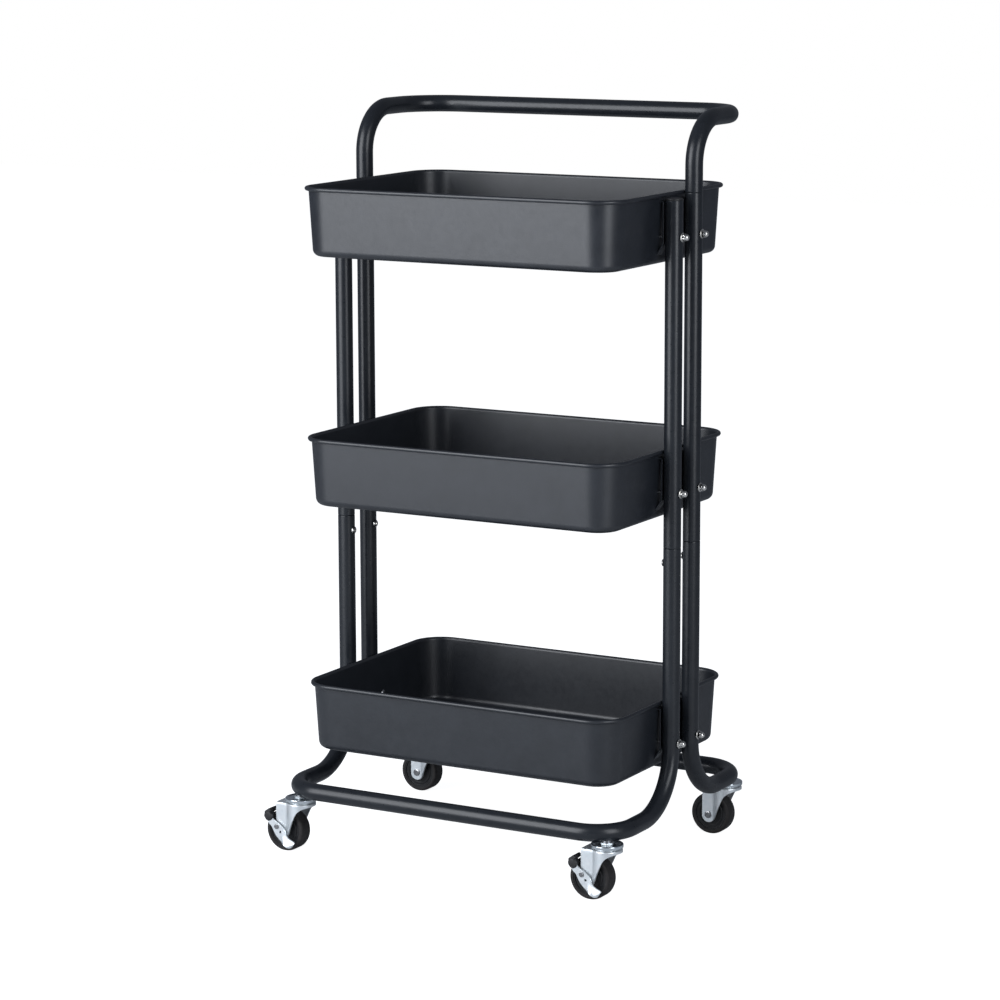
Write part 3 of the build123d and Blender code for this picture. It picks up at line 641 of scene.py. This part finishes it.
for level, rim_z in RIM_Z.items():
    tray = Build()
    rings = [tray_ring(tray, inset, rim_z + z) for inset, z in tray_profile]
    tray.skin(rings, cap_start=True, cap_end=True)
    piece(f"tray_{level}_pan", tray, "frame", TRAY_PAINT, [f"tray_{level}"], angle=50)


def wall_x(drop):
    """X of the right wall's outside this far under the rim."""
    return RIM_HALF_X - WALL_INSET - WALL_LEAN * drop / TRAY_DEPTH


strip_back = STRIP_FACE_X - STRIP_THICK
strap_outline = rounded(
    [(wall_x(STRIP_TOP), -STRIP_TOP), (STRIP_FACE_X, -STRIP_TOP), (STRIP_FACE_X, -STRIP_BEND),
     (wall_x(STRIP_FOOT), -STRIP_FOOT),
     (wall_x(STRIP_FOOT - STRIP_FOOT_THICK), STRIP_FOOT_THICK - STRIP_FOOT), (strip_back, -STRIP_BEND),
     (strip_back, -STRIP_TOP - STRIP_THICK), (wall_x(STRIP_TOP + STRIP_THICK), -STRIP_TOP - STRIP_THICK)],
    [0, 2.6, 6.0, 0, 0, 4.5, 1.0, 0], closed=True)
for level, rim_z in RIM_Z.items():
    straps = Build()
    for sx in (-1, 1):
        for sy in (-1, 1):
            place = plane_matrix((0, sy * POST_Y - sx * STRIP_WIDTH / 2, rim_z), (sx, 0, 0), (0, -sx, 0))
            straps.add(plate(strap_outline, STRIP_WIDTH), place)
    piece(f"brackets_{level}_straps", straps, "frame", TRAY_PAINT, [f"brackets_{level}"],
          bevel=0.35)


# ------------------------------------------------------------------ screws and nuts
def screw(length):
    """Domed screw along +Z with its head below z = 0 and a cross recess in the dome."""
    outline = rounded([(0, -HEAD_THICK), (0.5 * HEAD_R, -0.86 * HEAD_THICK),
                       (0.86 * HEAD_R, -0.52 * HEAD_THICK), (HEAD_R, -0.8), (HEAD_R, 0), (BOLT_R, 0),
                       (BOLT_R, length - 0.6), (BOLT_R - 0.6, length), (0, length)],
                      [0, 4, 3, 0.5, 0.3, 0.2, 0, 0, 0])
    arm = Build()
    rings = [arm.ring([(-x, -y, z), (x, -y, z), (x, y, z), (-x, y, z)])
             for x, y, z in (RECESS_HIGH, RECESS_LOW)]
    arm.skin(rings, cap_start=True, cap_end=True)
    cross = [placed(arm, Matrix.Rotation(spin, 4, "Z")) for spin in (0, math.pi / 2)]
    return build_of(cut(lathe(outline, 48), cross))


def cap_nut():
    """Domed hexagon nut along +Z with its flange at z = 0 and a plain blind hole."""
    corner_r = NUT_FLATS / math.sqrt(3) - 0.12
    dome_z = NUT_HEIGHT - NUT_DOME_R
    low = [(0, NUT_BORE_DEPTH), (BOLT_R, NUT_BORE_DEPTH)]
    low += rounded([(BOLT_R, 0), (NUT_FLANGE_R, 0), (NUT_FLANGE_R, 1.1), (corner_r + 0.2, 1.35)],
                   [0, 0.3, 0.45, 0])
    hexed = [(corner_r, 1.4), (corner_r, 3.9), (NUT_FLATS / 2 + 0.12, 4.4), (3.92, 4.6)]
    dome = [(NUT_DOME_R * math.cos(a), dome_z + NUT_DOME_R * math.sin(a))
            for a in (math.radians(9 * k) for k in range(10))] + [(0, NUT_HEIGHT)]
    stack = [(r, z, points is hexed) for points in (low, hexed, dome) for r, z in points]
    return turned(stack, HEX_SEGMENTS, flats=NUT_FLATS)


head_x = wall_x(BOLT_DROP + HEAD_R) - SHEET - 0.05
bolt_places = [(sx, sy * POST_Y, z - BOLT_DROP) for z in RIM_Z.values() for sx in (-1, 1) for sy in (-1, 1)]
long_screw = screw(NUT_X + BOLT_PAST_NUT_FACE - head_x)
short_screw = screw(JOINT_SCREW_LENGTH)
nut = cap_nut()

bolts, nuts, joints = Build(), Build(), Build()
for i, (sx, y, z) in enumerate(bolt_places):
    turn = Matrix.Rotation(BOLT_SPIN * i, 4, "Z")
    bolts.add(long_screw, plane_matrix((sx * head_x, y, z), (0, 0, 1), (sx, 0, 0)) @ turn)
    nuts.add(nut, plane_matrix((sx * NUT_X, y, z), (0, 0, 1), (sx, 0, 0)) @ turn)
for i, (sx, sy) in enumerate(CASTERS.values()):
    turn = Matrix.Rotation(JOINT_SPIN * i, 4, "Z")
    place = plane_matrix((sx * (POST_X - TUBE_R), sy * POST_Y, JOINT_SCREW_Z), (0, 0, 1), (sx, 0, 0))
    joints.add(short_screw, place @ turn)
piece("tray_bolt_set", bolts, "frame", DARK_STEEL, ["tray_bolts"])
piece("cap_nut_set", nuts, "frame", NICKEL, ["cap_nuts"], angle=HEX_SMOOTH_ANGLE)
piece("joint_screw_set", joints, "frame", NICKEL, ["joint_screws"])
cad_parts["caster_inserts"].data.materials.clear()
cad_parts["caster_inserts"].data.materials.append(DARK_STEEL)


# ------------------------------------------------------------------ casters
def swivel_stem():
    """Stem with its hexagon collar over the dish and its riveted kingpin under it, about the floor point."""
    collar_r = COLLAR_FLATS / math.sqrt(3) - 0.25
    foot = CAP_TOP - KINGPIN_FOOT
    rings = [(0, STEM_TOP), (3.4, STEM_TOP), (STEM_R, STEM_TOP - 0.6), (STEM_R, COLLAR_TOP),
             (6.6, COLLAR_TOP), (collar_r, COLLAR_TOP - 0.5), (collar_r, CAP_TOP + 0.2),
             (6.6, CAP_TOP + 0.02), (SHANK_R, CAP_TOP), (SHANK_R, foot + 2), (5.6, foot + 2),
             (6.0, foot + 1.6), (5.9, foot + 0.9), (5.3, foot + 0.3), (4.2, foot), (0, foot)]
    stack = [(r, z, r == collar_r) for r, z in rings]
    return turned(stack, HEX_SEGMENTS, flats=COLLAR_FLATS, spin=COLLAR_SPIN)


def swivel_dish():
    """Pressed dish over the balls, with a turned-down rim and a raised middle."""
    skirt_foot = RACE_TOP + 0.4
    groove = CAP_TOP - 0.65
    profile = rounded([(4.02, CAP_UNDER), (CAP_R - 1.6, CAP_UNDER), (CAP_R - 1.6, skirt_foot),
                       (CAP_R, skirt_foot), (CAP_R, CAP_TOP + 0.1), (CAP_R - 2.6, CAP_TOP + 0.1),
                       (CAP_R - 4.6, groove), (10.8, groove), (9.7, CAP_TOP), (4.02, CAP_TOP)],
                      [0, 0.9, 0.5, 0.5, 1.1, 0.9, 0.6, 0.5, 0.5, 0], closed=True, step=math.radians(18))
    return lathe(profile, 80, loop=True)


def fork_plan():
    """Plan of the fork from one leg's heel round the front skirt to the other's, its creases softened."""
    crease = TRAIL - math.sqrt(CROWN_R**2 - LEG_OUT**2)
    turn = math.atan2(LEG_OUT, crease - TRAIL)
    front = [(TRAIL + CROWN_R * math.cos(a), CROWN_R * math.sin(a))
             for a in (turn * (k / 36 - 1) for k in range(73))]
    straight = [HEEL_X + (crease - HEEL_X) * (1 - math.cos(math.pi / 2 * k / 20)) for k in range(20)]
    plan = [(x, -LEG_OUT) for x in straight] + front + [(x, LEG_OUT) for x in reversed(straight)]
    for _ in range(3):
        middle = [((a[0] + 2 * b[0] + c[0]) / 4, (a[1] + 2 * b[1] + c[1]) / 4)
                  for a, b, c in zip(plan, plan[1:], plan[2:])]
        plan = [plan[0], *middle, plan[-1]]
    return plan


def fork_shell():
    """Skirt, legs and crown of the fork as one bent sheet about the axle's middle."""
    wall_steps, bend_steps = 14, 5
    top = CROWN_TOP - WHEEL_R
    plan = fork_plan()
    low_line = [FORK_FOOT[0]] + arc_through(*FORK_FOOT, 24) + [FORK_FRONT[0]] + arc_through(*FORK_FRONT, 16)

    def low_at(x):
        for (x0, z0), (x1, z1) in zip(low_line, low_line[1:]):
            if x0 <= x <= x1 and x1 > x0:
                return z0 + (z1 - z0) * (x - x0) / (x1 - x0)
        return low_line[0][1] if x <= low_line[0][0] else low_line[-1][1]

    made = Build()
    columns = []
    for i, (x, y) in enumerate(plan):
        before, after = plan[max(i - 1, 0)], plan[min(i + 1, len(plan) - 1)]
        along = Vector((after[0] - before[0], after[1] - before[1])).normalized()
        inward = Vector((-along.y, along.x))
        low = low_at(x)
        column = [(x, y, low + (top - CROWN_BEND_R - low) * k / wall_steps) for k in range(wall_steps + 1)]
        for k in range(1, bend_steps + 1):
            a = math.pi / 2 * k / bend_steps
            d = CROWN_BEND_R * (1 - math.cos(a))
            z = top - CROWN_BEND_R + CROWN_BEND_R * math.sin(a)
            column.append((x + inward.x * d, y + inward.y * d, z))
        columns.append(made.ring(column))
    for a, b in zip(columns, columns[1:]):
        for k in range(wall_steps + bend_steps):
            made.faces.append((a[k], b[k], b[k + 1], a[k + 1]))
    made.faces.append(tuple(reversed([c[-1] for c in columns])))
    return made


def drill(radius, low, high, matrix, segments=48):
    """Cutter: a cylinder along the matrix's Z."""
    return placed(lathe([(0, low), (radius, low), (radius, high), (0, high)], segments), matrix)


SIDE = plane_matrix((0, 0, 0), (1, 0, 0), (0, -1, 0))      # local Z points to -Y
fork_sheet = thicken(fork_shell(), FORK_SHEET, -1.0)
kingpin_hole = drill(KINGPIN_BORE_R, 26, 40, Matrix.Translation((TRAIL, 0, 0)))
axle_hole = drill(AXLE_BORE_R, -20, 20, SIDE)
pivot_hole = drill(PIVOT_BORE_R, 8, 20, SIDE @ Matrix.Translation((*PIVOT, 0)))
fork_plain = cut(fork_sheet, [kingpin_hole, axle_hole])
fork_pierced = cut(fork_sheet, [kingpin_hole, axle_hole, pivot_hole])

race_low, race_high = CROWN_TOP - WHEEL_R - RACE_DROP, RACE_TOP - WHEEL_R
race_build = lathe(rounded([(BALL_RING_R - RACE_HALF, race_low), (BALL_RING_R + RACE_HALF, race_low),
                            (BALL_RING_R + RACE_HALF, race_high), (BALL_RING_R - RACE_HALF, race_high)],
                           [0, 0, 0.6, 0.6], closed=True), 72, loop=True)
ball_build = lathe([(BALL_R * math.cos(math.radians(a)) if abs(a) < 90 else 0,
                     BALL_R * math.sin(math.radians(a))) for a in range(-90, 91, 15)], 20)

axle_build = lathe(rounded(*mirrored(
    [(0, AXLE_END), (AXLE_R, AXLE_END), (AXLE_HEAD_R, AXLE_END - 0.4), (AXLE_HEAD_R, AXLE_SEAT),
     (AXLE_R, AXLE_SEAT)],
    [0, 0.8, 0.4, 0.2, 0])), 48)
bush_build = lathe(rounded(*mirrored(
    [(BUSH_BORE_R, -BUSH_HALF), (HUB_R, -BUSH_HALF)],
    [0.25, 0.25]), closed=True), 48, loop=True)
wheel_build = lathe(rounded(*mirrored(
    [(HUB_R, HUB_HALF), (6.8, HUB_HALF), (8.2, 8.4), (13.5, 7.6), (14.0, 8.4), (15.6, 8.4), (16.1, 7.4),
     (18.3, 7.4), (18.9, 8.8), (TYRE_SEAT_R, 8.8)],
    [0.2, 0.9, 1.4, 0.5, 0.4, 0.4, 0.5, 0.5, 0.3, 0.1]), closed=True), 96, loop=True)
tyre_build = lathe(rounded(*mirrored(
    [(TYRE_SEAT_R, -TYRE_HALF), (22.3, -TYRE_HALF), (24.2, -8.9), (WHEEL_R, -6.6)],
    [0.3, 1.2, 1.6, 3.0]), closed=True), 128, loop=True)


def lever_sheet():
    """Ear of the brake lever as a strip from tip to foot; the foot's lower side flares outward."""
    across, along = 14, 72
    low = resample(smooth_curve(EAR_LOWER, 12), along)
    high = resample(smooth_curve(EAR_UPPER, 12), along)
    made = Build()
    rows = []
    for i in range(along):
        points = []
        for k in range(across + 1):
            t = k / across
            p = low[i].lerp(high[i], t)
            lean = max(0.0, min(1.0, (p.x - FOOT_FROM) / (FOOT_TO - FOOT_FROM)))
            lean *= lean * (3 - 2 * lean)
            points.append((p.x, p.y, FOOT_OUT * lean * (1 - t) ** 2))
        rows.append(made.ring(points))
    for a, b in zip(rows, rows[1:]):
        for k in range(across):
            made.faces.append((a[k], b[k], b[k + 1], a[k + 1]))
    return made


def lever_plate():
    """The ear as a plate with the pivot's hole and a smaller one on the axle's line."""
    hole = drill(EAR_HOLE_R, -8, 8, Matrix.Translation((*PIVOT, 0)))
    sight = drill(SIGHT_HOLE_R, -8, 8, Matrix.Identity(4))
    return build_of(cut(thicken(lever_sheet(), EAR_THICK, 1.0), [hole, sight]))


def soft_block(size, r, high, low, edge):
    """Rounded block between two heights with rounded rims."""
    made = Build()
    rings = []
    slopes = [math.radians(a) for a in (0, 22.5, 45, 67.5, 90)]
    steps = [(edge * (1 - math.sin(a)), edge * (1 - math.cos(a))) for a in slopes]
    levels = [(inset, low + drop) for inset, drop in steps]
    levels += [(inset, high - drop) for inset, drop in reversed(steps)]
    hx, hy = size[0] / 2 - r, size[1] / 2 - r
    for inset, z in levels:
        points = []
        for sx, sy, start in CORNERS:
            points += [(x, y, z) for x, y in arc2(sx * hx, sy * hy, r - inset, start, start + 90, 8)]
        rings.append(made.ring(points))
    made.skin(rings, cap_start=True, cap_end=True)
    return made


def brake_pad():
    """Shoe over the tread joined to a round pedal over the ear's tip."""
    shoe = soft_block(SHOE_SIZE, SHOE_R, SHOE_HIGH, SHOE_LOW, SHOE_EDGE)
    pedal = soft_block(PEDAL_SIZE, PEDAL_R, PEDAL_HIGH, PEDAL_LOW, PEDAL_EDGE)
    return build_of(cut(shoe, [placed(pedal, Matrix.Translation((*PEDAL_SHIFT, 0)))], "UNION"))


stem_build, dish_build, lever_build, pad_build = swivel_stem(), swivel_dish(), lever_plate(), brake_pad()
tongue = plate([(-TONGUE_HALF, -TONGUE_THICK / 2), (TONGUE_HALF, -TONGUE_THICK / 2),
                (TONGUE_HALF, TONGUE_THICK / 2), (-TONGUE_HALF, TONGUE_THICK / 2)], TONGUE_REACH)
pivot_build = lathe(rounded([(0, 1.2), (2.9, 1.2), (2.9, 0.3), (1.8, 0.3), (1.8, -1.8), (2.7, -1.8),
                             (2.7, -4.2), (1.8, -4.2), (1.8, -6.0), (0, -6.0)],
                            [0, 0.6, 0.1, 0, 0, 0.2, 0.2, 0, 0.2, 0]), 40)

for name, (sx, sy) in CASTERS.items():
    stem = Matrix.Translation((sx * CASTER_X, sy * CASTER_Y, 0))
    axle = Matrix.Translation((sx * CASTER_X - TRAIL, sy * CASTER_Y, WHEEL_R))
    swivel, roller, brake = f"swivel_{name}", f"roller_{name}", f"brake_{name}"

    piece(f"stem_{name}_turned", placed(stem_build, stem), "frame", ZINC, [f"stem_{name}"],
          angle=HEX_SMOOTH_ANGLE)
    piece(f"swivel_cap_{name}_dish", placed(dish_build, stem), "frame", CAP_ZINC,
          [f"swivel_cap_{name}"])
    ring = Build()
    for k in range(BALL_COUNT):
        out_to_ring = Matrix.Translation((BALL_RING_R, 0, RACE_TOP + BALL_GAP + BALL_R))
        ring.add(ball_build, stem @ (Matrix.Rotation(TAU * k / BALL_COUNT, 4, "Z") @ out_to_ring))
    piece(f"balls_{name}_ring", ring, swivel, NICKEL, [f"balls_{name}"])
    fork = placed(build_of(fork_pierced if name in BRAKED else fork_plain), axle)
    piece(f"fork_{name}_pressing", fork, swivel, ZINC, [f"fork_{name}"], bevel=0.3,
          angle=SHEET_SMOOTH_ANGLE)
    piece(f"fork_{name}_race", placed(race_build, axle @ Matrix.Translation((TRAIL, 0, 0))), swivel, ZINC,
          [f"fork_{name}"])
    for node, label, build, body, paint, slot in (
            ("axle", "rivet", axle_build, swivel, DARK_STEEL, "axle_steel"),
            ("hub_bush", "sleeve", bush_build, roller, DARK_STEEL, "bush_steel"),
            ("wheel", "centre", wheel_build, roller, WHEEL_BLACK, "wheel_plastic"),
            ("tyre", "ring", tyre_build, roller, TYRE_BLACK, "tyre_rubber")):
        piece(f"{node}_{name}_{label}", placed(build, axle @ SIDE), body, paint, [f"{node}_{name}"])
    if name not in BRAKED:
        continue
    ear = axle @ plane_matrix((0, -EAR_IN - EAR_THICK, 0), (1, 0, 0), (0, -1, 0))
    pad_place = axle @ plane_matrix((PAD_MIDDLE[0], -EAR_IN - EAR_THICK, PAD_MIDDLE[1]),
                                    (PAD_MIDDLE[1], 0, -PAD_MIDDLE[0]), (0, -1, 0))
    lever = placed(lever_build, ear)
    lever.add(tongue, pad_place)
    piece(f"brake_lever_{name}_stamping", lever, brake, ZINC, [f"brake_lever_{name}"],
          bevel=0.25, angle=SHEET_SMOOTH_ANGLE)
    piece(f"brake_pad_{name}_sleeve", placed(pad_build, pad_place), brake, PAD_BLACK,
          [f"brake_pad_{name}"])
    piece(f"brake_pivot_{name}_rivet", placed(pivot_build, ear @ Matrix.Translation((*PIVOT, 0))), swivel,
          DARK_STEEL, [f"brake_pivot_{name}"])


# ------------------------------------------------------------------ stage, light and camera
def camera_only(nodes, links, others, camera, out):
    """Sends one shader to the camera and another to every other ray."""
    path = nodes.new("ShaderNodeLightPath")
    choose = nodes.new("ShaderNodeMixShader")
    links.new(path.outputs["Is Camera Ray"], choose.inputs["Fac"])
    links.new(others, choose.inputs[1])
    links.new(camera, choose.inputs[2])
    links.new(choose.outputs["Shader"], out.inputs["Surface"])


def stage_material():
    """Pale matt floor that the camera sees brightened to the backdrop's white."""
    made = bpy.data.materials.new("pale_floor")
    nodes, links = empty_tree(made)
    out = nodes.new("ShaderNodeOutputMaterial")
    glow = nodes.new("ShaderNodeEmission")
    glow.inputs["Color"].default_value = (1, 1, 1, 1)
    glow.inputs["Strength"].default_value = FLOOR_GLOW
    cloth = nodes.new("ShaderNodeBsdfDiffuse")
    place = nodes.new("ShaderNodeTexCoord")
    patches = noise(nodes, links, place, 30, GRAIN_DETAIL)
    links.new(two_tones(nodes, links, patches, FLOOR_TONES, 0.0, 1.0), cloth.inputs["Color"])
    both = nodes.new("ShaderNodeAddShader")
    links.new(glow.outputs["Emission"], both.inputs[0])
    links.new(cloth.outputs["BSDF"], both.inputs[1])
    camera_only(nodes, links, cloth.outputs["BSDF"], both.outputs["Shader"], out)
    return made


floor_mesh = bpy.data.meshes.new("floor")
floor_corners = [(x * FLOOR_HALF, y * FLOOR_HALF, 0) for x, y in ((-1, -1), (1, -1), (1, 1), (-1, 1))]
floor_mesh.from_pydata(floor_corners, [], [(0, 1, 2, 3)])
floor = bpy.data.objects.new("floor", floor_mesh)
floor_mesh.materials.append(stage_material())
bpy.context.scene.collection.objects.link(floor)

world = bpy.data.worlds.new("studio")
bpy.context.scene.world = world
nodes, links = empty_tree(world)
sky_out = nodes.new("ShaderNodeOutputWorld")
white = nodes.new("ShaderNodeBackground")
white.inputs["Color"].default_value = (1, 1, 1, 1)
room = nodes.new("ShaderNodeBackground")
room.inputs["Color"].default_value = (*ROOM_COLOUR, 1)
room.inputs["Strength"].default_value = ROOM_STRENGTH
camera_only(nodes, links, room.outputs["Background"], white.outputs["Background"], sky_out)


def softbox(name, azimuth, distance, height, width, tall, radiance, aim_z):
    """Area light aimed at the cart. Azimuth 0 is straight in front, positive to the cart's right."""
    lamp = bpy.data.lights.new(name, "AREA")
    lamp.shape = "RECTANGLE"
    lamp.size, lamp.size_y = width, tall
    lamp.color = LAMP_COLOUR
    lamp.energy = radiance * math.pi * width * tall
    made = bpy.data.objects.new(name, lamp)
    a = math.radians(azimuth)
    made.location = (distance * math.sin(a), -distance * math.cos(a), height)
    aim = Vector((0, 0, aim_z)) - made.location
    made.rotation_euler = aim.to_track_quat("-Z", "Y").to_euler()
    bpy.context.scene.collection.objects.link(made)


softbox("key_softbox", azimuth=-26, distance=2.4, height=1.22, width=1.8, tall=2.35,
        radiance=4.6, aim_z=0.5)
softbox("right_softbox", azimuth=64.5, distance=2.5, height=1.2, width=1.1, tall=2.1,
        radiance=3.6, aim_z=0.6)

camera_data = bpy.data.cameras.new("camera")
camera = bpy.data.objects.new("camera", camera_data)
camera_data.sensor_width = CAMERA_SENSOR
camera_data.lens = CAMERA_LENS
camera_data.clip_end = CAMERA_REACH
away = Vector((math.sin(CAMERA_YAW) * math.cos(CAMERA_PITCH), -math.cos(CAMERA_YAW) * math.cos(CAMERA_PITCH),
               math.sin(CAMERA_PITCH)))
camera.location = CAMERA_TARGET + away * CAMERA_DISTANCE
look = (-away).to_track_quat("-Z", "Y").to_matrix().to_4x4()
camera.rotation_euler = (look @ Matrix.Rotation(CAMERA_ROLL, 4, "Z")).to_euler()
bpy.context.scene.collection.objects.link(camera)
bpy.context.scene.camera = camera
bpy.context.scene.view_settings.view_transform = "Standard"
bpy.context.scene.view_settings.look = "None"
